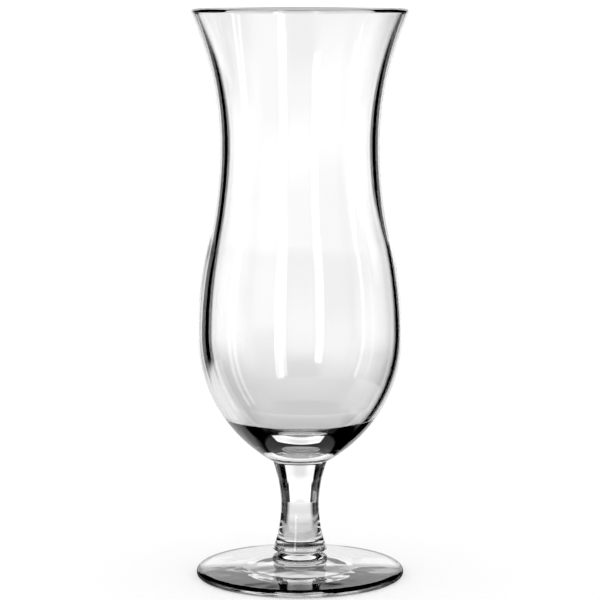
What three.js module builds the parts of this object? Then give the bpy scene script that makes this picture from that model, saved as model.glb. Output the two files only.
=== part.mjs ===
// A clear hurricane-style cocktail glass: a blown bowl, a pressed stem and a pressed foot,
// each shaped by itself and fused to the next in a flame, end to end on one axis.
// Millimetres, +Z up. The origin is the centre of the plane that the foot stands on.
import * as THREE from "three";

// Bowl. Heights are taken from the plane that the glass stands on, diameters on the outer face.
const RIM_HEIGHT = 210;
const RIM_DIAMETER = 79.2;
const RIM_WALL = 2.4;
const WAIST_HEIGHT = 160.5;
const WAIST_DIAMETER = 59.4;
const WAIST_WALL = 3.2;
const TURN_HEIGHT = 122.8;
const INNER_TURN_HEIGHT = 127;
const BELLY_HEIGHT = 90.6;
const BELLY_DIAMETER = 75.6;
const BELLY_WALL = 3.2;
const BASE_THICKNESS = 7.2;
const DISH_DEPTH = 10.4;
const CORNER_RADIUS = 5;

// Stem, from the seam under the bowl down to the collar above the foot.
const STEM_TOP_HEIGHT = 43;
const STEM_TOP_DIAMETER = 20.2;
const STEM_WAIST_HEIGHT = 25.7;
const STEM_WAIST_DIAMETER = 14.2;
const COLLAR_HEIGHT = 9.8;
const COLLAR_DIAMETER = 20;
const COLLAR_BEVEL = 0.8;

// Foot, from the seam under the collar down to the ring that it stands on.
const SEAM_HEIGHT = 8.2;
const SEAM_DIAMETER = 12.8;
const BOSS_HEIGHT = 5.9;
const BOSS_DIAMETER = 20.6;
const BOSS_BEVEL = 0.6;
const BOSS_TUCK = 0.6;
const FOOT_DIAMETER = 77.2;
const FOOT_RISE = 1.9;
const EDGE_UPPER_RADIUS = 1.7;
const EDGE_LOWER_RADIUS = 1.1;
const BEARING_RING_WIDTH = 17.5;
const RECESS_DEPTH = 1.8;

// Facets: sides of every turned piece, how far a chord may lie inside its curve, steps along a bevel,
// and how near two ends of neighbouring stretches must be to count as one point.
const SIDES = 64;
const CHORD_SAG = 0.1;
const BEVEL_STEPS = 4;
const SAME_POINT = 1e-6;

// Clear soda-lime glass, polished by the flame.
const GLASS_TINT = 0xf2f5f4;
const GLASS_ROUGHNESS = 0.02;
const GLASS_OPACITY = 0.35;

const point = (radius, height) => new THREE.Vector2(radius, height);

// Steps that keep every chord of an arc within the sag.
function arcSteps(radius, angle) {
  const stepAngle = 2 * Math.acos(1 - Math.min(CHORD_SAG / radius, 1));
  return Math.max(2, Math.ceil(Math.abs(angle) / stepAngle));
}

// Circular arc that leaves `start` straight up or down and reaches `end`. Its centre is level with `start`.
function sweep(start, end) {
  const rise = end.y - start.y;
  const spread = end.x - start.x;
  const radius = (rise * rise + spread * spread) / (2 * Math.abs(spread));
  const side = Math.sign(spread);
  const turn = Math.atan2(rise, radius - Math.abs(spread));
  const steps = arcSteps(radius, turn);
  return Array.from({ length: steps + 1 }, (_, step) => {
    const angle = (turn * step) / steps;
    return point(start.x + side * radius * (1 - Math.cos(angle)), start.y + radius * Math.sin(angle));
  });
}

// Elliptical arc about a centre, between two angles measured from the radial direction.
function ellipse(centre, radialAxis, heightAxis, from, to) {
  const clockwise = to < from;
  const curve = new THREE.EllipseCurve(centre.x, centre.y, radialAxis, heightAxis, from, to, clockwise);
  return curve.getPoints(arcSteps(Math.max(radialAxis, heightAxis), to - from));
}

// Rounded edge between two points, drawn towards a corner.
function bevel(start, corner, end) {
  return new THREE.QuadraticBezierCurve(start, corner, end).getPoints(BEVEL_STEPS);
}

// A closed solid turned about the axis from stretches of its profile, listed up the outside first.
function turned(name, ...stretches) {
  const points = stretches.flat();
  const profile = points.filter((here, index) => index === 0 || here.distanceTo(points[index - 1]) > SAME_POINT);
  const geometry = new THREE.LatheGeometry(profile, SIDES);
  geometry.rotateX(Math.PI / 2);
  const material = new THREE.MeshStandardMaterial({
    color: GLASS_TINT,
    roughness: GLASS_ROUGHNESS,
    metalness: 0,
    transparent: true,
    opacity: GLASS_OPACITY,
  });
  const mesh = new THREE.Mesh(geometry, material);
  mesh.name = name;
  return mesh;
}

// One face of the bowl's wall from the belly up to the rim: a full curve, a hollow one, then the flare.
// The first two meet where the straight line from belly to waist passes the turn, so they run on smoothly.
function wallFace(bellyRadius, waistRadius, rimRadius, turnHeight) {
  const belly = point(bellyRadius, BELLY_HEIGHT);
  const waist = point(waistRadius, WAIST_HEIGHT);
  const rim = point(rimRadius, RIM_HEIGHT - RIM_WALL / 2);
  const share = (turnHeight - BELLY_HEIGHT) / (WAIST_HEIGHT - BELLY_HEIGHT);
  const turn = belly.clone().lerp(waist, share);
  return [...sweep(belly, turn), ...sweep(waist, turn).reverse(), ...sweep(waist, rim)];
}

// Lower half of the cavity, in three arcs that run on smoothly: wall, round corner and dished floor.
// The wall's arc shares the centre of the bowl's outer underside, so its thickness holds to the corner.
function cavityBottom(belly, stemTop, floor) {
  const drop = belly.y - stemTop.y;
  const inset = belly.x - stemTop.x;
  const outerRadius = (drop * drop + inset * inset) / (2 * inset);
  const wallCentre = point(belly.x - outerRadius, belly.y);
  const wallRadius = outerRadius - BELLY_WALL;
  const meetHeight = floor.y + DISH_DEPTH;
  const meetRadius = wallCentre.x + Math.sqrt(wallRadius ** 2 - (belly.y - meetHeight) ** 2);
  const dishRadius = (meetRadius ** 2 + DISH_DEPTH ** 2) / (2 * DISH_DEPTH);
  const dishCentre = point(0, floor.y + dishRadius);
  const fromWall = wallRadius - CORNER_RADIUS;
  const fromDish = dishRadius - CORNER_RADIUS;
  const apart = wallCentre.distanceTo(dishCentre);
  const along = (apart ** 2 + fromWall ** 2 - fromDish ** 2) / (2 * apart);
  const below = Math.sqrt(fromWall ** 2 - along ** 2);
  const course = dishCentre.clone().sub(wallCentre).normalize();
  const cornerCentre = wallCentre.clone().addScaledVector(course, along);
  cornerCentre.add(point(below * course.y, -below * course.x));
  const wallEnd = cornerCentre.clone().sub(wallCentre).angle() - 2 * Math.PI;
  const cornerEnd = cornerCentre.clone().sub(dishCentre).angle() - 2 * Math.PI;
  return [
    ...ellipse(wallCentre, wallRadius, wallRadius, 0, wallEnd),
    ...ellipse(cornerCentre, CORNER_RADIUS, CORNER_RADIUS, wallEnd, cornerEnd),
    ...ellipse(dishCentre, dishRadius, dishRadius, cornerEnd, -Math.PI / 2).slice(0, -1),
    floor,
  ];
}

// Bowl: one wall with a reverse curve, a fire-rounded lip and a thick base that ends flat at the stem.
function bowl() {
  const belly = point(BELLY_DIAMETER / 2, BELLY_HEIGHT);
  const stemTop = point(STEM_TOP_DIAMETER / 2, STEM_TOP_HEIGHT);
  const floor = point(0, STEM_TOP_HEIGHT + BASE_THICKNESS);
  const waistRadius = WAIST_DIAMETER / 2;
  const rimRadius = RIM_DIAMETER / 2;
  const lipRadius = RIM_WALL / 2;
  const lipCentre = point(rimRadius - lipRadius, RIM_HEIGHT - lipRadius);
  const outside = wallFace(belly.x, waistRadius, rimRadius, TURN_HEIGHT);
  const innerWaist = waistRadius - WAIST_WALL;
  const inside = wallFace(belly.x - BELLY_WALL, innerWaist, rimRadius - RIM_WALL, INNER_TURN_HEIGHT);
  return turned(
    "bowl",
    [point(0, STEM_TOP_HEIGHT)],
    sweep(belly, stemTop).reverse(),
    outside,
    ellipse(lipCentre, lipRadius, lipRadius, 0, Math.PI),
    inside.reverse(),
    cavityBottom(belly, stemTop, floor),
  );
}

// Stem: solid, drawn in at its waist, with a bevelled collar over the seam to the foot.
function stem() {
  const collar = point(COLLAR_DIAMETER / 2, COLLAR_HEIGHT);
  const waist = point(STEM_WAIST_DIAMETER / 2, STEM_WAIST_HEIGHT);
  const top = point(STEM_TOP_DIAMETER / 2, STEM_TOP_HEIGHT);
  const seam = point(SEAM_DIAMETER / 2, SEAM_HEIGHT);
  return turned(
    "stem",
    [point(0, SEAM_HEIGHT)],
    bevel(seam, point(collar.x, SEAM_HEIGHT + COLLAR_BEVEL), collar),
    sweep(waist, collar).reverse(),
    sweep(waist, top),
    [point(0, STEM_TOP_HEIGHT)],
  );
}

// Foot: a thin disc that rises to a rounded boss, hollowed underneath so that it stands on a ring.
function foot() {
  const rimRadius = FOOT_DIAMETER / 2;
  const edgeHeight = EDGE_LOWER_RADIUS + EDGE_UPPER_RADIUS;
  const ringOuter = rimRadius - EDGE_LOWER_RADIUS;
  const ringInner = ringOuter - BEARING_RING_WIDTH;
  const domeRadius = (ringInner ** 2 + RECESS_DEPTH ** 2) / (2 * RECESS_DEPTH);
  const domeAngle = Math.asin(ringInner / domeRadius);
  const domeCentre = point(0, RECESS_DEPTH - domeRadius);
  const dome = ellipse(domeCentre, domeRadius, domeRadius, Math.PI / 2, Math.PI / 2 - domeAngle);
  const lowerEdge = point(ringOuter, EDGE_LOWER_RADIUS);
  const upperEdge = point(rimRadius - EDGE_UPPER_RADIUS, EDGE_LOWER_RADIUS);
  const boss = point(BOSS_DIAMETER / 2, BOSS_HEIGHT);
  const bossFoot = point(boss.x - BOSS_TUCK, edgeHeight + FOOT_RISE);
  const seam = point(SEAM_DIAMETER / 2, SEAM_HEIGHT);
  return turned(
    "foot",
    [point(0, RECESS_DEPTH)],
    dome.slice(1, -1),
    [point(ringInner, 0)],
    ellipse(lowerEdge, EDGE_LOWER_RADIUS, EDGE_LOWER_RADIUS, -Math.PI / 2, 0),
    ellipse(upperEdge, EDGE_UPPER_RADIUS, EDGE_UPPER_RADIUS, 0, Math.PI / 2),
    bevel(bossFoot, point(boss.x, bossFoot.y), boss),
    bevel(boss, point(boss.x, SEAM_HEIGHT - BOSS_BEVEL), seam),
    [point(0, SEAM_HEIGHT)],
  );
}

const glass = new THREE.Group();
glass.add(bowl(), stem(), foot());
export default glass;
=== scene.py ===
import math

import bpy
import numpy as np
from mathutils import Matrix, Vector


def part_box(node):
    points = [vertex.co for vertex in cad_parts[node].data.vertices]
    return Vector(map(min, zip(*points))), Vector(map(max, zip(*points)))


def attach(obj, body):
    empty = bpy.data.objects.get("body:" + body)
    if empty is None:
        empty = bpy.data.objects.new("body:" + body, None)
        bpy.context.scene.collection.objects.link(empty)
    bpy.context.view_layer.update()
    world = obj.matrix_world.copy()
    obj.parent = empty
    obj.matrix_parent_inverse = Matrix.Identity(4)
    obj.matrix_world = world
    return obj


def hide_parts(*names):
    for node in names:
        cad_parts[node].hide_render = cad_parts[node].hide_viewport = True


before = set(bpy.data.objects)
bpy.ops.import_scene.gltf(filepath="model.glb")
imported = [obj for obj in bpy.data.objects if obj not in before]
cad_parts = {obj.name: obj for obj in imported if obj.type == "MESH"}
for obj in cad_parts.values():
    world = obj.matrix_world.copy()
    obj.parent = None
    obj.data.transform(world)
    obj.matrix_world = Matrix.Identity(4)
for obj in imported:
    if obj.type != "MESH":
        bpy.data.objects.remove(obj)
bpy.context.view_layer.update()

# Foot. A thin disc of clear soda-lime glass, pressed in a mould with a low boss in its middle.
# Its underside is flat towards the edge, where it stands, and hollowed in the middle. In a flame
# the boss is fused to the collar of the stem.
MM = 0.001
FOOT_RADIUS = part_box("foot")[1].x
SEAM_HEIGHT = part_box("foot")[1].z
SEAM_RADIUS = 6.4 * MM
BOSS_HEIGHT = 5.9 * MM
BOSS_RADIUS = 10.3 * MM
BOSS_BEVEL = 0.6 * MM
BOSS_TUCK = 0.6 * MM
FOOT_RISE = 1.9 * MM
FOOT_EDGE_UPPER = 1.7 * MM
FOOT_EDGE_LOWER = 1.1 * MM
FOOT_RING_WIDTH = 17.5 * MM
FOOT_RECESS = 1.8 * MM
PROFILE_STEP = 1.1 * MM
ARC_STEPS_PER_RADIAN = 12
BEVEL_POINTS = 9
SAME_POINT = 0.0001 * MM
TURN_STEPS = 256
CREASE = math.radians(18)
GLASS_COLOUR = "#fdfdfd"
GLASS_IOR = 1.52
GLASS_ROUGHNESS = 0
WAVE_DETAIL = 1
FOOT_WAVE_ACROSS = 9 * MM
FOOT_WAVE_ALONG = 12 * MM
FOOT_WAVE_DEPTH = 0.16 * MM
SEAM_HAZE = 0.25
SEAM_HAZE_COLOUR = "#8c8e8d"
BUBBLE_COLOUR = "#ffffff"
BUBBLE_SPACING = 1.5 * MM
BUBBLE_SHARE = 0.16
SEAM_ROUGHNESS = 0.5
LEVEL_NORMAL = 0.999
JOINT_REACH = 0.001 * MM


def spread(first, last, count):
    """Values from first to last, as a column that a formula carries over both coordinates."""
    return np.linspace(first, last, max(int(count), 2))[:, None]


def straight(start, end):
    """Points of a profile on the straight line from start to end."""
    share = spread(0, 1, np.hypot(*np.subtract(end, start)) / PROFILE_STEP + 2)
    return np.asarray(start) + share * np.subtract(end, start)


def round_arc(centre, radius, first, last):
    """Centre plus radius times (cosine, sine) of an angle from first to last, from the radial direction."""
    turn = abs(last - first)
    angle = spread(first, last, turn * max(radius / PROFILE_STEP, ARC_STEPS_PER_RADIAN) + 2)
    return np.asarray(centre) + radius * np.hstack([np.cos(angle), np.sin(angle)])


def rounded(start, corner, end):
    """Quadratic Bezier curve: shares (1-t)^2, 2t(1-t) and t^2 of start, corner and end."""
    share = spread(0, 1, BEVEL_POINTS)
    ends = (1 - share) ** 2 * np.asarray(start) + share**2 * np.asarray(end)
    return ends + 2 * share * (1 - share) * np.asarray(corner)


def turned(name, *stretches):
    """A closed body: each profile point goes round as radius times (cosine, sine) of a turn, at its height.

    The profile's first and last points lie on the axis and become the two poles."""
    profile = np.vstack(stretches)
    apart = np.linalg.norm(np.diff(profile, axis=0), axis=1) > SAME_POINT
    profile = profile[np.r_[True, apart]]
    turn = np.linspace(0, 2 * np.pi, TURN_STEPS, endpoint=False)
    radius, height = profile[1:-1, 0:1], profile[1:-1, 1:2]
    rings = np.stack([radius * np.cos(turn), radius * np.sin(turn), height + 0 * turn], axis=2)
    poles = np.array([[0, 0, profile[0, 1]], [0, 0, profile[-1, 1]]])
    number = np.arange(rings.shape[0] * TURN_STEPS).reshape(rings.shape[:2])
    beside = np.roll(number, -1, axis=1)
    quads = np.stack([number[:-1], beside[:-1], beside[1:], number[1:]], axis=2).reshape(-1, 4)
    low_fan = np.stack([beside[0], number[0], np.full(TURN_STEPS, number.size)], axis=1)
    high_fan = np.stack([number[-1], beside[-1], np.full(TURN_STEPS, number.size + 1)], axis=1)
    points = np.vstack([rings.reshape(-1, 3), poles])
    mesh = bpy.data.meshes.new(name)
    mesh.from_pydata(points.tolist(), [], quads.tolist() + low_fan.tolist() + high_fan.tolist())
    mesh.shade_smooth()
    mesh.set_sharp_from_angle(angle=CREASE)
    piece = bpy.data.objects.new(name, mesh)
    bpy.context.scene.collection.objects.link(piece)
    return piece


def linear(hex_colour):
    """sRGB hex to linear: a straight line below 0.04, and above it a power of 2.4."""
    srgb = np.array([int(hex_colour[i:i + 2], 16) for i in (1, 3, 5)]) / 255
    return (*np.where(srgb < 0.04045, srgb / 12.92, ((srgb + 0.055) / 1.055) ** 2.4), 1)


def add(tree, kind, inputs=None, **settings):
    """A node of a kind with its settings; each input is a value, or another node's output to link."""
    made = tree.nodes.new(kind)
    for setting, value in settings.items():
        setattr(made, setting, value)
    for socket, value in (inputs or {}).items():
        if isinstance(value, bpy.types.NodeSocket):
            tree.links.new(value, made.inputs[socket])
        else:
            made.inputs[socket].default_value = value
    return made


def soda_lime_glass(name, wave_across, wave_along, wave_depth):
    """Clear glass whose skin set with slow waves in it, so the bright and dark bands in it waver a little.

    The waves are noise on the place, divided by their length across the axis and along it."""
    material = bpy.data.materials.new(name)
    material.use_nodes = True
    tree = material.node_tree
    tree.nodes.clear()
    place = add(tree, "ShaderNodeTexCoord").outputs["Object"]
    stretch = (1 / wave_across, 1 / wave_across, 1 / wave_along)
    spot = add(tree, "ShaderNodeVectorMath", {0: place, 1: stretch}, operation="MULTIPLY").outputs[0]
    wave = add(tree, "ShaderNodeTexNoise", {"Vector": spot, "Scale": 1, "Detail": WAVE_DETAIL}).outputs[0]
    skin = add(tree, "ShaderNodeBump", {"Height": wave, "Strength": 1, "Distance": wave_depth}).outputs[0]
    glass = add(
        tree, "ShaderNodeBsdfPrincipled",
        {
            "Base Color": linear(GLASS_COLOUR), "Transmission Weight": 1, "IOR": GLASS_IOR,
            "Roughness": GLASS_ROUGHNESS, "Normal": skin,
        },
    ).outputs[0]
    add(tree, "ShaderNodeOutputMaterial", {"Surface": glass})
    return material


def fused_glass():
    """Where two pieces are fused no face is left, only a faint haze and a sprinkling of tiny round bubbles.

    A bubble is where the distance to the nearest of scattered points, BUBBLE_SPACING apart, is small."""
    material = bpy.data.materials.new("fused_soda_lime_glass")
    material.use_nodes = True
    tree = material.node_tree
    tree.nodes.clear()
    place = add(tree, "ShaderNodeTexCoord").outputs["Object"]
    reach = add(
        tree, "ShaderNodeTexVoronoi", {"Vector": place, "Scale": 1 / BUBBLE_SPACING}
    ).outputs["Distance"]
    bubble = add(tree, "ShaderNodeMath", {0: reach, 1: BUBBLE_SHARE}, operation="LESS_THAN").outputs[0]
    colour = add(
        tree, "ShaderNodeMix", {"Factor": bubble, 6: linear(SEAM_HAZE_COLOUR), 7: linear(BUBBLE_COLOUR)},
        data_type="RGBA",
    ).outputs[2]
    cover = add(tree, "ShaderNodeMapRange", {"Value": bubble, "To Min": SEAM_HAZE, "To Max": 1}).outputs[0]
    seam = add(
        tree, "ShaderNodeBsdfPrincipled", {"Base Color": colour, "Alpha": cover, "Roughness": SEAM_ROUGHNESS}
    ).outputs[0]
    add(tree, "ShaderNodeOutputMaterial", {"Surface": seam})
    return material


def fuse(piece, glass, *joint_heights):
    """Gives a piece its glass, and its level faces at the joint heights the fused one."""
    piece.data.materials.append(glass)
    piece.data.materials.append(fused)
    faces = len(piece.data.polygons)
    centres = np.empty(faces * 3)
    piece.data.polygons.foreach_get("center", centres)
    normals = np.empty(faces * 3)
    piece.data.polygons.foreach_get("normal", normals)
    level = np.abs(normals[2::3]) > LEVEL_NORMAL
    at_joint = np.abs(centres[2::3, None] - np.array(joint_heights)).min(axis=1) < JOINT_REACH
    piece.data.polygons.foreach_set("material_index", (level & at_joint).astype(np.int32))


fused = fused_glass()
edge_height = FOOT_EDGE_LOWER + FOOT_EDGE_UPPER
ring_outer = FOOT_RADIUS - FOOT_EDGE_LOWER
ring_inner = ring_outer - FOOT_RING_WIDTH
dome_radius = (ring_inner**2 + FOOT_RECESS**2) / (2 * FOOT_RECESS)
dome_angle = math.asin(ring_inner / dome_radius)
boss_foot = (BOSS_RADIUS - BOSS_TUCK, edge_height + FOOT_RISE)
foot = turned(
    "glass_foot",
    round_arc((0, FOOT_RECESS - dome_radius), dome_radius, math.pi / 2, math.pi / 2 - dome_angle),
    straight((ring_inner, 0), (ring_outer, 0)),
    round_arc((ring_outer, FOOT_EDGE_LOWER), FOOT_EDGE_LOWER, -math.pi / 2, 0),
    round_arc((FOOT_RADIUS - FOOT_EDGE_UPPER, FOOT_EDGE_LOWER), FOOT_EDGE_UPPER, 0, math.pi / 2),
    straight((FOOT_RADIUS - FOOT_EDGE_UPPER, edge_height), boss_foot),
    rounded(boss_foot, (BOSS_RADIUS, boss_foot[1]), (BOSS_RADIUS, BOSS_HEIGHT)),
    rounded((BOSS_RADIUS, BOSS_HEIGHT), (BOSS_RADIUS, SEAM_HEIGHT - BOSS_BEVEL), (SEAM_RADIUS, SEAM_HEIGHT)),
    straight((SEAM_RADIUS, SEAM_HEIGHT), (0, SEAM_HEIGHT)),
)
foot_glass = soda_lime_glass(
    "pressed_soda_lime_glass_foot", FOOT_WAVE_ACROSS, FOOT_WAVE_ALONG, FOOT_WAVE_DEPTH
)
fuse(foot, foot_glass, SEAM_HEIGHT)
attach(foot, "root")
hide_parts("foot")

# Stem. A short solid rod of the same glass, pressed and then drawn in at its waist while soft.
# Its lower end spreads to a collar with a bevelled edge. It is fused to the foot below it and to
# the bowl above it.
STEM_TOP_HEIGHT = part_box("stem")[1].z
STEM_TOP_RADIUS = 10.1 * MM
STEM_WAIST = (7.1 * MM, 25.7 * MM)
COLLAR = (10 * MM, 9.8 * MM)
COLLAR_BEVEL = 0.8 * MM
STEM_WAVE_ACROSS = 6 * MM
STEM_WAVE_ALONG = 9 * MM
STEM_WAVE_DEPTH = 0.006 * MM


def upright_arc(start, end):
    """Circular arc that leaves start straight up or down and reaches end, its centre level with start.

    Its radius is (rise^2 + spread^2) / (2 spread)."""
    out, rise = np.subtract(end, start)
    radius = (rise**2 + out**2) / (2 * abs(out))
    turn = math.atan2(rise, radius - abs(out))
    points = round_arc((0, 0), radius, 0, turn)
    return np.asarray(start) + np.hstack([math.copysign(1, out) * (radius - points[:, :1]), points[:, 1:]])


stem = turned(
    "glass_stem",
    straight((0, SEAM_HEIGHT), (SEAM_RADIUS, SEAM_HEIGHT)),
    rounded((SEAM_RADIUS, SEAM_HEIGHT), (COLLAR[0], SEAM_HEIGHT + COLLAR_BEVEL), COLLAR),
    upright_arc(STEM_WAIST, COLLAR)[::-1],
    upright_arc(STEM_WAIST, (STEM_TOP_RADIUS, STEM_TOP_HEIGHT)),
    straight((STEM_TOP_RADIUS, STEM_TOP_HEIGHT), (0, STEM_TOP_HEIGHT)),
)
stem_glass = soda_lime_glass(
    "drawn_soda_lime_glass_stem", STEM_WAVE_ACROSS, STEM_WAVE_ALONG, STEM_WAVE_DEPTH
)
fuse(stem, stem_glass, SEAM_HEIGHT, STEM_TOP_HEIGHT)
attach(stem, "root")
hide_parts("stem")

# Bowl. Blown into a mould as one bubble, so its wall runs from the full belly through the drawn-in
# waist to the flared rim without a seam. The lip is rounded in a flame, and the thick base is fused
# to the stem.
RIM_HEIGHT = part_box("bowl")[1].z
RIM_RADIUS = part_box("bowl")[1].x
RIM_WALL = 2.4 * MM
WAIST_HEIGHT = 160.5 * MM
WAIST_RADIUS = 29.7 * MM
WAIST_WALL = 3.2 * MM
TURN_HEIGHT = 122.8 * MM
INNER_TURN_HEIGHT = 127 * MM
BELLY_HEIGHT = 90.6 * MM
BELLY_RADIUS = 37.8 * MM
BELLY_WALL = 3.2 * MM
BASE_THICKNESS = 7.2 * MM
DISH_DEPTH = 10.4 * MM
CORNER_RADIUS = 5 * MM
LEAN = 0.55 * MM
LEAN_TOP = 145 * MM
LEAN_FULL = 116 * MM
BOWL_WAVE_ACROSS = 16 * MM
BOWL_WAVE_ALONG = 60 * MM
BOWL_WAVE_DEPTH = 0.01 * MM


def wall_face(belly_radius, waist_radius, rim_radius, turn_height):
    """One face of the wall in three tangent arcs from belly to rim: full, hollow and flared.

    The first two meet where the straight line from belly to waist is at turn_height."""
    belly, waist = (belly_radius, BELLY_HEIGHT), (waist_radius, WAIST_HEIGHT)
    share = (turn_height - BELLY_HEIGHT) / (WAIST_HEIGHT - BELLY_HEIGHT)
    turn = (belly_radius + share * (waist_radius - belly_radius), turn_height)
    rim = (rim_radius, RIM_HEIGHT - RIM_WALL / 2)
    return np.vstack([upright_arc(belly, turn), upright_arc(waist, turn)[::-1], upright_arc(waist, rim)])


def cavity_bottom(floor):
    """Wall, corner and dish of the cavity, each an arc tangent to the next.

    The wall's arc has the centre of the bowl's outer underside. The dish is level at the axis and would meet
    the wall at DISH_DEPTH. The corner's centre is where circles about the other two centres cross, each with
    its radius less the corner's."""
    drop = BELLY_HEIGHT - STEM_TOP_HEIGHT
    inset = BELLY_RADIUS - STEM_TOP_RADIUS
    outer_radius = (drop**2 + inset**2) / (2 * inset)
    wall_centre = np.array([BELLY_RADIUS - outer_radius, BELLY_HEIGHT])
    wall_radius = outer_radius - BELLY_WALL
    meet = wall_centre[0] + math.sqrt(wall_radius**2 - (BELLY_HEIGHT - floor - DISH_DEPTH) ** 2)
    dish_radius = (meet**2 + DISH_DEPTH**2) / (2 * DISH_DEPTH)
    dish_centre = np.array([0, floor + dish_radius])
    from_wall, from_dish = wall_radius - CORNER_RADIUS, dish_radius - CORNER_RADIUS
    apart = np.linalg.norm(dish_centre - wall_centre)
    course = (dish_centre - wall_centre) / apart
    along = (from_wall**2 - from_dish**2 + apart**2) / (2 * apart)
    below = math.sqrt(from_wall**2 - along**2)
    corner_centre = wall_centre + along * course + below * np.array([course[1], -course[0]])
    wall_end = math.atan2(*(corner_centre - wall_centre)[::-1])
    corner_end = math.atan2(*(corner_centre - dish_centre)[::-1])
    return np.vstack([
        round_arc(wall_centre, wall_radius, 0, wall_end),
        round_arc(corner_centre, CORNER_RADIUS, wall_end, corner_end),
        round_arc(dish_centre, dish_radius, corner_end, -math.pi / 2)[:-1],
        [(0, floor)],
    ])


def lean_inside(piece):
    """Shifts the inner face sideways, by a smooth step of height, because a blown wall is never quite even.

    The inner face follows the highest point in the order of the profile. The pole under the base, last but
    one of all points, stays."""
    places = np.empty(len(piece.data.vertices) * 3)
    piece.data.vertices.foreach_get("co", places)
    places = places.reshape(-1, 3)
    inner = np.arange(len(places)) > np.argmax(places[:, 2])
    share = np.clip((LEAN_TOP - places[:, 2]) / (LEAN_TOP - LEAN_FULL), 0, 1)
    inner[-2] = False
    places[:, 0] += np.where(inner, LEAN * share**2 * (3 - 2 * share), 0)
    piece.data.vertices.foreach_set("co", places.ravel())
    piece.data.update()


lip_centre = (RIM_RADIUS - RIM_WALL / 2, RIM_HEIGHT - RIM_WALL / 2)
inner_face = wall_face(
    BELLY_RADIUS - BELLY_WALL, WAIST_RADIUS - WAIST_WALL, RIM_RADIUS - RIM_WALL, INNER_TURN_HEIGHT
)
bowl = turned(
    "glass_bowl",
    straight((0, STEM_TOP_HEIGHT), (STEM_TOP_RADIUS, STEM_TOP_HEIGHT)),
    upright_arc((BELLY_RADIUS, BELLY_HEIGHT), (STEM_TOP_RADIUS, STEM_TOP_HEIGHT))[::-1],
    wall_face(BELLY_RADIUS, WAIST_RADIUS, RIM_RADIUS, TURN_HEIGHT),
    round_arc(lip_centre, RIM_WALL / 2, 0, math.pi),
    inner_face[::-1],
    cavity_bottom(STEM_TOP_HEIGHT + BASE_THICKNESS),
)
lean_inside(bowl)
bowl_glass = soda_lime_glass(
    "blown_soda_lime_glass_bowl", BOWL_WAVE_ACROSS, BOWL_WAVE_ALONG, BOWL_WAVE_DEPTH
)
fuse(bowl, bowl_glass, STEM_TOP_HEIGHT)
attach(bowl, "root")
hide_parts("bowl")

# Table. A plain round of smooth white paper under the glass, which takes its soft shadow. By way of
# the glass alone it glows with painted light under the foot and in patches towards the cards, with painted
# shade in front at low angles and in a band behind. Elsewhere, seen steeply, it turns clear and lets the
# studio below show as a painted sheen.
TABLE_RADIUS = 165 * MM
TABLE_SIDES = 96
TABLE_GAP = 0.05 * MM
TABLE_COLOUR = "#fcfcfc"
# Painted shade: the table's glow is darker in front of the glass at low angles, and in a band behind it.
TABLE_SHADE = 0.85
TABLE_SHADE_FULL_Y = -2 * MM
TABLE_SHADE_GONE_Y = 6 * MM
TABLE_STEEP = 0.6
TABLE_LOW = 0.7
TABLE_DIM = 0.17
TABLE_DIM_Y = 95 * MM
TABLE_DIM_HALF = 40 * MM
TABLE_DIM_FADE = 60 * MM
# Painted sheen: from here back, steep rays pass clear through the table to the studio below.
TABLE_SHEEN_FRONT = -80 * MM
TABLE_SHEEN_BACK = -50 * MM
# Painted glow: the levels and places of the patches where the table glows by way of the glass, with no lamp
# on them.
STEM_PATCH_LEVEL = 0.65
STEM_PATCH_HALF = math.radians(26)
STEM_PATCH_SOFT = math.radians(10)
STEM_PATCH_RADIUS = 75 * MM
STEM_PATCH_EDGE = 20 * MM
PATCH_INSIDE = 50 * MM
PATCH_OUTSIDE = 190 * MM
BEHIND = 0
LEFT = math.radians(-90)
RIGHT = math.radians(90)
LEFT_BACK = math.radians(-45)
LEFT_FRONT = math.radians(-135)
RIGHT_FRONT = math.radians(135)
FRONT = math.pi
STEM_PATCHES = (
    (BEHIND, -STEM_PATCH_RADIUS, STEM_PATCH_RADIUS),
    (RIGHT_FRONT, PATCH_INSIDE, PATCH_OUTSIDE),
    (LEFT_BACK, PATCH_INSIDE, STEM_PATCH_RADIUS),
    (LEFT_FRONT, PATCH_INSIDE, PATCH_OUTSIDE),
    (FRONT, PATCH_INSIDE, PATCH_OUTSIDE),
    (-FRONT, PATCH_INSIDE, PATCH_OUTSIDE),
    (RIGHT, STEM_PATCH_RADIUS, PATCH_OUTSIDE),
)
# Painted glow in sectors towards the cards, seen at low angles by way of the glass.
SECTOR_AZIMUTHS = (BEHIND, LEFT, RIGHT_FRONT, LEFT_FRONT, FRONT, -FRONT, RIGHT)
SECTOR_HALF = math.radians(26)
SECTOR_SOFT = math.radians(14)
SECTOR_INSIDE = 50 * MM
SECTOR_EDGE = 8 * MM
# Painted glow under the foot: its level seen steeply, and the angles where it turns full.
DISC_PATCH_LEVEL = 0.5
FOOT_PATCH_HALF = 37 * MM
FOOT_PATCH_EDGE = 4 * MM
FOOT_PATCH_STEEP = 0.45
FOOT_PATCH_LOW = 0.6
TABLE_LIFT = 0.06
FACING_BLEND = 0.5
NO_BOUNCE = 0.5


def soft_window(tree, level, *spans):
    """A level inside every span and nothing outside, with soft edges.

    A span is a measure, its middle, its half width and its fade: a smooth step of the distance from
    the middle."""
    light = level
    for measure, middle, half, fade in spans:
        offset = add(tree, "ShaderNodeMath", {0: measure, 1: middle}, operation="SUBTRACT").outputs[0]
        aside = add(tree, "ShaderNodeMath", {0: offset}, operation="ABSOLUTE").outputs[0]
        inside = add(
            tree, "ShaderNodeMapRange",
            {"Value": aside, "From Min": half + fade / 2, "From Max": half - fade / 2},
            interpolation_type="SMOOTHSTEP",
        ).outputs[0]
        light = add(tree, "ShaderNodeMath", {0: inside, 1: light}, operation="MULTIPLY").outputs[0]
    return light


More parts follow.
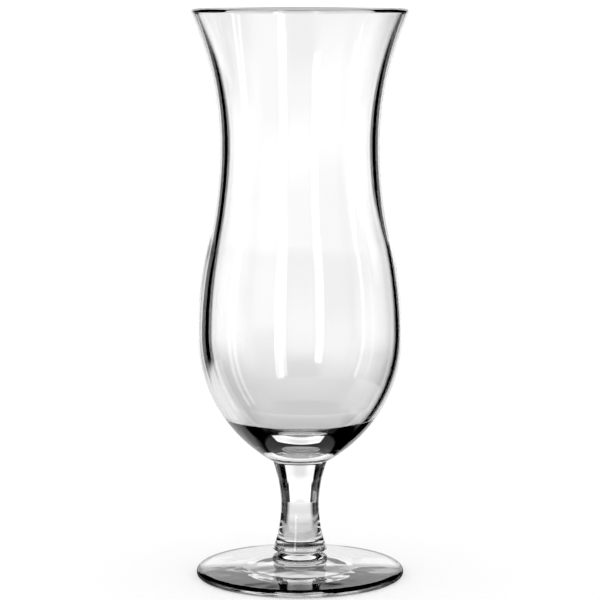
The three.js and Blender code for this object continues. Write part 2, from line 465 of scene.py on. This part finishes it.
def sight_by_glass(tree):
    """1 for a ray that comes from the eye by way of glass alone, and 0 for the light on things."""
    path = add(tree, "ShaderNodeLightPath").outputs
    by_glass = add(
        tree, "ShaderNodeMath", {0: path["Is Glossy Ray"], 1: path["Is Transmission Ray"]},
        operation="MAXIMUM",
    ).outputs[0]
    direct = add(
        tree, "ShaderNodeMath", {0: path["Diffuse Depth"], 1: NO_BOUNCE}, operation="LESS_THAN"
    ).outputs[0]
    return add(tree, "ShaderNodeMath", {0: by_glass, 1: direct}, operation="MULTIPLY").outputs[0]


round_turn = np.linspace(0, 2 * np.pi, TABLE_SIDES, endpoint=False)
table_edge = np.stack([np.cos(round_turn), np.sin(round_turn), 0 * round_turn], axis=1) * TABLE_RADIUS
table_mesh = bpy.data.meshes.new("table_top")
table_mesh.from_pydata((table_edge - (0, 0, TABLE_GAP)).tolist(), [], [list(range(TABLE_SIDES))])
table = bpy.data.objects.new("table_top", table_mesh)
bpy.context.scene.collection.objects.link(table)
# Straight on, the paper is lit white with an even lift; by way of the glass it shows painted glow, painted
# shade and a painted sheen instead.
paper_and_painted_glow = bpy.data.materials.new("white_paper_with_painted_glow")
paper_and_painted_glow.use_nodes = True
tree = paper_and_painted_glow.node_tree
tree.nodes.clear()
matte = add(tree, "ShaderNodeBsdfDiffuse", {"Color": linear(TABLE_COLOUR)}).outputs[0]
is_camera = add(tree, "ShaderNodeLightPath").outputs["Is Camera Ray"]
lift = add(tree, "ShaderNodeMath", {0: is_camera, 1: TABLE_LIFT}, operation="MULTIPLY").outputs[0]
white = add(tree, "ShaderNodeEmission", {"Strength": lift}).outputs[0]
plain_paper = add(tree, "ShaderNodeAddShader", {0: matte, 1: white}).outputs[0]
place = add(tree, "ShaderNodeTexCoord").outputs["Object"]
across, depth, _ = add(tree, "ShaderNodeSeparateXYZ", {0: place}).outputs
facing = add(tree, "ShaderNodeLayerWeight", {"Blend": FACING_BLEND}).outputs["Facing"]
low_angle = add(
    tree, "ShaderNodeMapRange", {"Value": facing, "From Min": TABLE_STEEP, "From Max": TABLE_LOW},
    interpolation_type="SMOOTHSTEP",
).outputs[0]
# Painted shade in the glow: a band behind the glass, and the front at low angles.
dim = soft_window(tree, TABLE_DIM, (depth, TABLE_DIM_Y, TABLE_DIM_HALF, TABLE_DIM_FADE))
shade = add(
    tree, "ShaderNodeMapRange",
    {
        "Value": depth, "From Min": TABLE_SHADE_FULL_Y, "From Max": TABLE_SHADE_GONE_Y,
        "To Min": TABLE_SHADE, "To Max": 0,
    },
    interpolation_type="SMOOTHSTEP",
).outputs[0]
dim = add(tree, "ShaderNodeMath", {0: shade, 1: low_angle, 2: dim}, operation="MULTIPLY_ADD").outputs[0]
painted_brightness = add(tree, "ShaderNodeMath", {0: 1, 1: dim}, operation="SUBTRACT").outputs[0]
turn = add(tree, "ShaderNodeMath", {0: across, 1: depth}, operation="ARCTAN2").outputs[0]
reach = add(tree, "ShaderNodeVectorMath", {0: place}, operation="LENGTH").outputs["Value"]
# Painted glow patches under the foot and in sectors towards the cards.
near = soft_window(tree, 1, (reach, 0, STEM_PATCH_RADIUS, STEM_PATCH_EDGE))
patch = soft_window(tree, DISC_PATCH_LEVEL, (reach, 0, FOOT_PATCH_HALF, FOOT_PATCH_EDGE))
for patch_azimuth, inside, outside in STEM_PATCHES:
    ring = (reach, (inside + outside) / 2, (outside - inside) / 2, STEM_PATCH_EDGE)
    sides = (turn, patch_azimuth, STEM_PATCH_HALF, STEM_PATCH_SOFT)
    sector = soft_window(tree, STEM_PATCH_LEVEL, sides, ring)
    patch = add(tree, "ShaderNodeMath", {0: patch, 1: sector}, operation="MAXIMUM").outputs[0]
foot_angle = add(
    tree, "ShaderNodeMapRange",
    {"Value": facing, "From Min": FOOT_PATCH_STEEP, "From Max": FOOT_PATCH_LOW},
    interpolation_type="SMOOTHSTEP",
).outputs[0]
low_shine = soft_window(tree, foot_angle, (reach, 0, FOOT_PATCH_HALF, FOOT_PATCH_EDGE))
outer = (reach, TABLE_RADIUS, TABLE_RADIUS - SECTOR_INSIDE, SECTOR_EDGE)
for sector_azimuth in SECTOR_AZIMUTHS:
    sector = soft_window(tree, low_angle, (turn, sector_azimuth, SECTOR_HALF, SECTOR_SOFT), outer)
    low_shine = add(tree, "ShaderNodeMath", {0: low_shine, 1: sector}, operation="MAXIMUM").outputs[0]
low = add(tree, "ShaderNodeMath", {0: low_angle, 1: low_shine}, operation="MAXIMUM").outputs[0]
steep = add(tree, "ShaderNodeMath", {0: 1, 1: low}, operation="SUBTRACT").outputs[0]
low_glow = add(tree, "ShaderNodeMath", {0: painted_brightness, 1: low_shine}, operation="MULTIPLY").outputs[0]
glow = add(tree, "ShaderNodeMath", {0: patch, 1: steep, 2: low_glow}, operation="MULTIPLY_ADD").outputs[0]
# Painted glow: an emission seen only by way of the glass.
shine = add(tree, "ShaderNodeEmission", {"Strength": glow}).outputs[0]
# Painted sheen: seen steeply away from the glass, the table turns clear and shows the studio below.
behind = add(
    tree, "ShaderNodeMapRange",
    {"Value": depth, "From Min": TABLE_SHEEN_FRONT, "From Max": TABLE_SHEEN_BACK},
    interpolation_type="SMOOTHSTEP",
).outputs[0]
away = add(tree, "ShaderNodeMath", {0: 1, 1: near}, operation="SUBTRACT").outputs[0]
clear = add(tree, "ShaderNodeMath", {0: behind, 1: steep}, operation="MULTIPLY").outputs[0]
clear = add(tree, "ShaderNodeMath", {0: clear, 1: away}, operation="MULTIPLY").outputs[0]
sheen = add(tree, "ShaderNodeBsdfTransparent", {"Color": clear}).outputs[0]
by_glass = add(tree, "ShaderNodeAddShader", {0: shine, 1: sheen}).outputs[0]
shown = add(tree, "ShaderNodeMixShader", {0: sight_by_glass(tree), 1: plain_paper, 2: by_glass}).outputs[0]
add(tree, "ShaderNodeOutputMaterial", {"Surface": shown})
table_mesh.materials.append(paper_and_painted_glow)

# Studio. Even white light on everything. By way of the glass the eye sees what stands round it: bright
# cards behind it, in front and on its sides, black gaps beside the one behind, and two narrow lamps
# whose reflections run down the bowl as streaks. Azimuth ends in front, so that card has two halves.
CARD_HALF = math.radians(23)
CARD_SOFT = math.radians(2)
CARD_TOP = math.radians(22)
CARD_TOP_SOFT = math.radians(3.5)
CARD_LEVEL = 1.08
CARD_SIDE_GAIN = 1.25
CARD_MIDDLE_HALF = math.radians(4)
CARD_SIDE_FROM = math.radians(17)
CARD_LOW_LEVEL = 0.68
CARD_DIP = 0.22
CARD_DIP_MIDDLE = math.radians(9)
CARD_DIP_HALF = math.radians(5.5)
CARD_DIP_SOFT = math.radians(4)
CARD_FADE_LOW = math.radians(-13)
CARD_FADE_HIGH = math.radians(-6)
CARD_DARK = math.radians(-58)
CARD_DIM = math.radians(-36)
BACK_CARD = math.radians(-0.25)
UPPER_CARD_HALF = math.radians(26)
UPPER_CARD_LOW = math.radians(2)
SIDE_CARD_LEVEL = 1
SIDE_CARD_SOFT = math.radians(20)
SIDE_CARD_LOW = math.radians(-14)
SIDE_CARD_END_SOFT = math.radians(16)
LEFT_BACK_TOP = math.radians(-16)
LEFT_BACK_LEVEL = 0.85
RIGHT_FRONT_TOP = math.radians(-2)
FRONT_LEVEL = 0.9
LOW_FILL = 0.75
FLOOR_LOW = math.radians(-90)
LAMP_SOFT = math.radians(1.2)
LAMP_LOW = math.radians(-46)
LAMP_HIGH = math.radians(25)
LAMP_END_SOFT = math.radians(3)
FRONT_LAMP = math.radians(-156)
FRONT_LAMP_HALF = math.radians(4.8)
FRONT_LAMP_LEVEL = 5
SIDE_LAMP = math.radians(-94)
SIDE_LAMP_HALF = math.radians(2.5)
SIDE_LAMP_LEVEL = 2.5
LIGHT_LEVEL = 1.03
LIGHT_COLOUR = "#ffffff"
world = bpy.data.worlds.new("studio")
bpy.context.scene.world = world
world.use_nodes = True
tree = world.node_tree
tree.nodes.clear()
direction = add(tree, "ShaderNodeTexCoord").outputs["Generated"]
course = add(tree, "ShaderNodeSeparateXYZ", {0: direction}).outputs
azimuth = add(tree, "ShaderNodeMath", {0: course["X"], 1: course["Y"]}, operation="ARCTAN2").outputs[0]
elevation = add(tree, "ShaderNodeMath", {0: course["Z"]}, operation="ARCSINE").outputs[0]
fade = add(
    tree, "ShaderNodeMapRange",
    {
        "Value": elevation, "From Min": CARD_FADE_LOW, "From Max": CARD_FADE_HIGH,
        "To Min": CARD_LOW_LEVEL, "To Max": CARD_LEVEL,
    },
    interpolation_type="SMOOTHSTEP",
).outputs[0]
steep = add(
    tree, "ShaderNodeMapRange", {"Value": elevation, "From Min": CARD_DARK, "From Max": CARD_DIM},
    interpolation_type="SMOOTHSTEP",
).outputs[0]
offset = add(tree, "ShaderNodeMath", {0: azimuth, 1: BACK_CARD}, operation="SUBTRACT").outputs[0]
aside = add(tree, "ShaderNodeMath", {0: offset}, operation="ABSOLUTE").outputs[0]
gain = add(
    tree, "ShaderNodeMapRange",
    {
        "Value": aside, "From Min": CARD_MIDDLE_HALF, "From Max": CARD_SIDE_FROM,
        "To Min": 1, "To Max": CARD_SIDE_GAIN,
    },
    interpolation_type="SMOOTHSTEP",
).outputs[0]
dip = soft_window(tree, CARD_DIP, (elevation, CARD_DIP_MIDDLE, CARD_DIP_HALF, CARD_DIP_SOFT))
kept = add(tree, "ShaderNodeMath", {0: 1, 1: dip}, operation="SUBTRACT").outputs[0]
gain = add(tree, "ShaderNodeMath", {0: gain, 1: kept}, operation="MULTIPLY").outputs[0]
graded = add(tree, "ShaderNodeMath", {0: fade, 1: steep}, operation="MULTIPLY").outputs[0]
graded = add(tree, "ShaderNodeMath", {0: graded, 1: gain}, operation="MULTIPLY").outputs[0]
upper = add(tree, "ShaderNodeMath", {0: gain, 1: CARD_LEVEL}, operation="MULTIPLY").outputs[0]
left_back = add(tree, "ShaderNodeMath", {0: steep, 1: LEFT_BACK_LEVEL}, operation="MULTIPLY").outputs[0]
panels = [
    (BACK_CARD, CARD_HALF, CARD_SOFT, FLOOR_LOW, CARD_TOP, CARD_TOP_SOFT, graded),
    (BACK_CARD, UPPER_CARD_HALF, CARD_SOFT, UPPER_CARD_LOW, CARD_TOP, CARD_TOP_SOFT, upper),
    (LEFT, CARD_HALF, SIDE_CARD_SOFT, SIDE_CARD_LOW, CARD_TOP, SIDE_CARD_END_SOFT, SIDE_CARD_LEVEL),
    (RIGHT, CARD_HALF, SIDE_CARD_SOFT, SIDE_CARD_LOW, CARD_TOP, SIDE_CARD_END_SOFT, SIDE_CARD_LEVEL),
    (LEFT_BACK, CARD_HALF, CARD_SOFT, FLOOR_LOW, LEFT_BACK_TOP, CARD_TOP_SOFT, left_back),
    (RIGHT_FRONT, CARD_HALF, SIDE_CARD_SOFT, FLOOR_LOW, RIGHT_FRONT_TOP, SIDE_CARD_END_SOFT, steep),
    (RIGHT, CARD_HALF, SIDE_CARD_SOFT, FLOOR_LOW, SIDE_CARD_LOW, SIDE_CARD_END_SOFT, LOW_FILL),
    (FRONT, CARD_HALF, SIDE_CARD_SOFT, SIDE_CARD_LOW, CARD_TOP, SIDE_CARD_END_SOFT, FRONT_LEVEL),
    (-FRONT, CARD_HALF, SIDE_CARD_SOFT, SIDE_CARD_LOW, CARD_TOP, SIDE_CARD_END_SOFT, FRONT_LEVEL),
    (LEFT_FRONT, CARD_HALF, SIDE_CARD_SOFT, FLOOR_LOW, CARD_TOP, SIDE_CARD_END_SOFT, FRONT_LEVEL),
    (FRONT_LAMP, FRONT_LAMP_HALF, LAMP_SOFT, LAMP_LOW, LAMP_HIGH, LAMP_END_SOFT, FRONT_LAMP_LEVEL),
    (SIDE_LAMP, SIDE_LAMP_HALF, LAMP_SOFT, LAMP_LOW, LAMP_HIGH, LAMP_END_SOFT, SIDE_LAMP_LEVEL),
]
surroundings = 0
for panel in panels:
    middle, half, soft, low, high, end_soft, level = panel
    upright = (elevation, (low + high) / 2, (high - low) / 2, end_soft)
    light = soft_window(tree, level, (azimuth, middle, half, soft), upright)
    surroundings = add(tree, "ShaderNodeMath", {0: surroundings, 1: light}, operation="MAXIMUM").outputs[0]
even = add(tree, "ShaderNodeBackground", {"Strength": LIGHT_LEVEL, "Color": linear(LIGHT_COLOUR)}).outputs[0]
studio = add(
    tree, "ShaderNodeBackground", {"Strength": surroundings, "Color": linear(LIGHT_COLOUR)}
).outputs[0]
mixed = add(tree, "ShaderNodeMixShader", {0: sight_by_glass(tree), 1: even, 2: studio}).outputs[0]
add(tree, "ShaderNodeOutputWorld", {"Surface": mixed})

# Camera. A long lens a little above the rim, looking slightly down.
CAMERA_DISTANCE = 900 * MM
CAMERA_HEIGHT = 220 * MM
CAMERA_TILT = math.radians(7.398)
CAMERA_LENS = 147.5
CAMERA_SENSOR = 36
camera = bpy.data.objects.new("camera", bpy.data.cameras.new("camera"))
bpy.context.scene.collection.objects.link(camera)
camera.location = (0, -CAMERA_DISTANCE, CAMERA_HEIGHT)
camera.rotation_euler = (math.pi / 2 - CAMERA_TILT, 0, 0)
camera.data.sensor_width = CAMERA_SENSOR
camera.data.lens = CAMERA_LENS
bpy.context.scene.camera = camera
bpy.context.scene.view_settings.view_transform = "Standard"
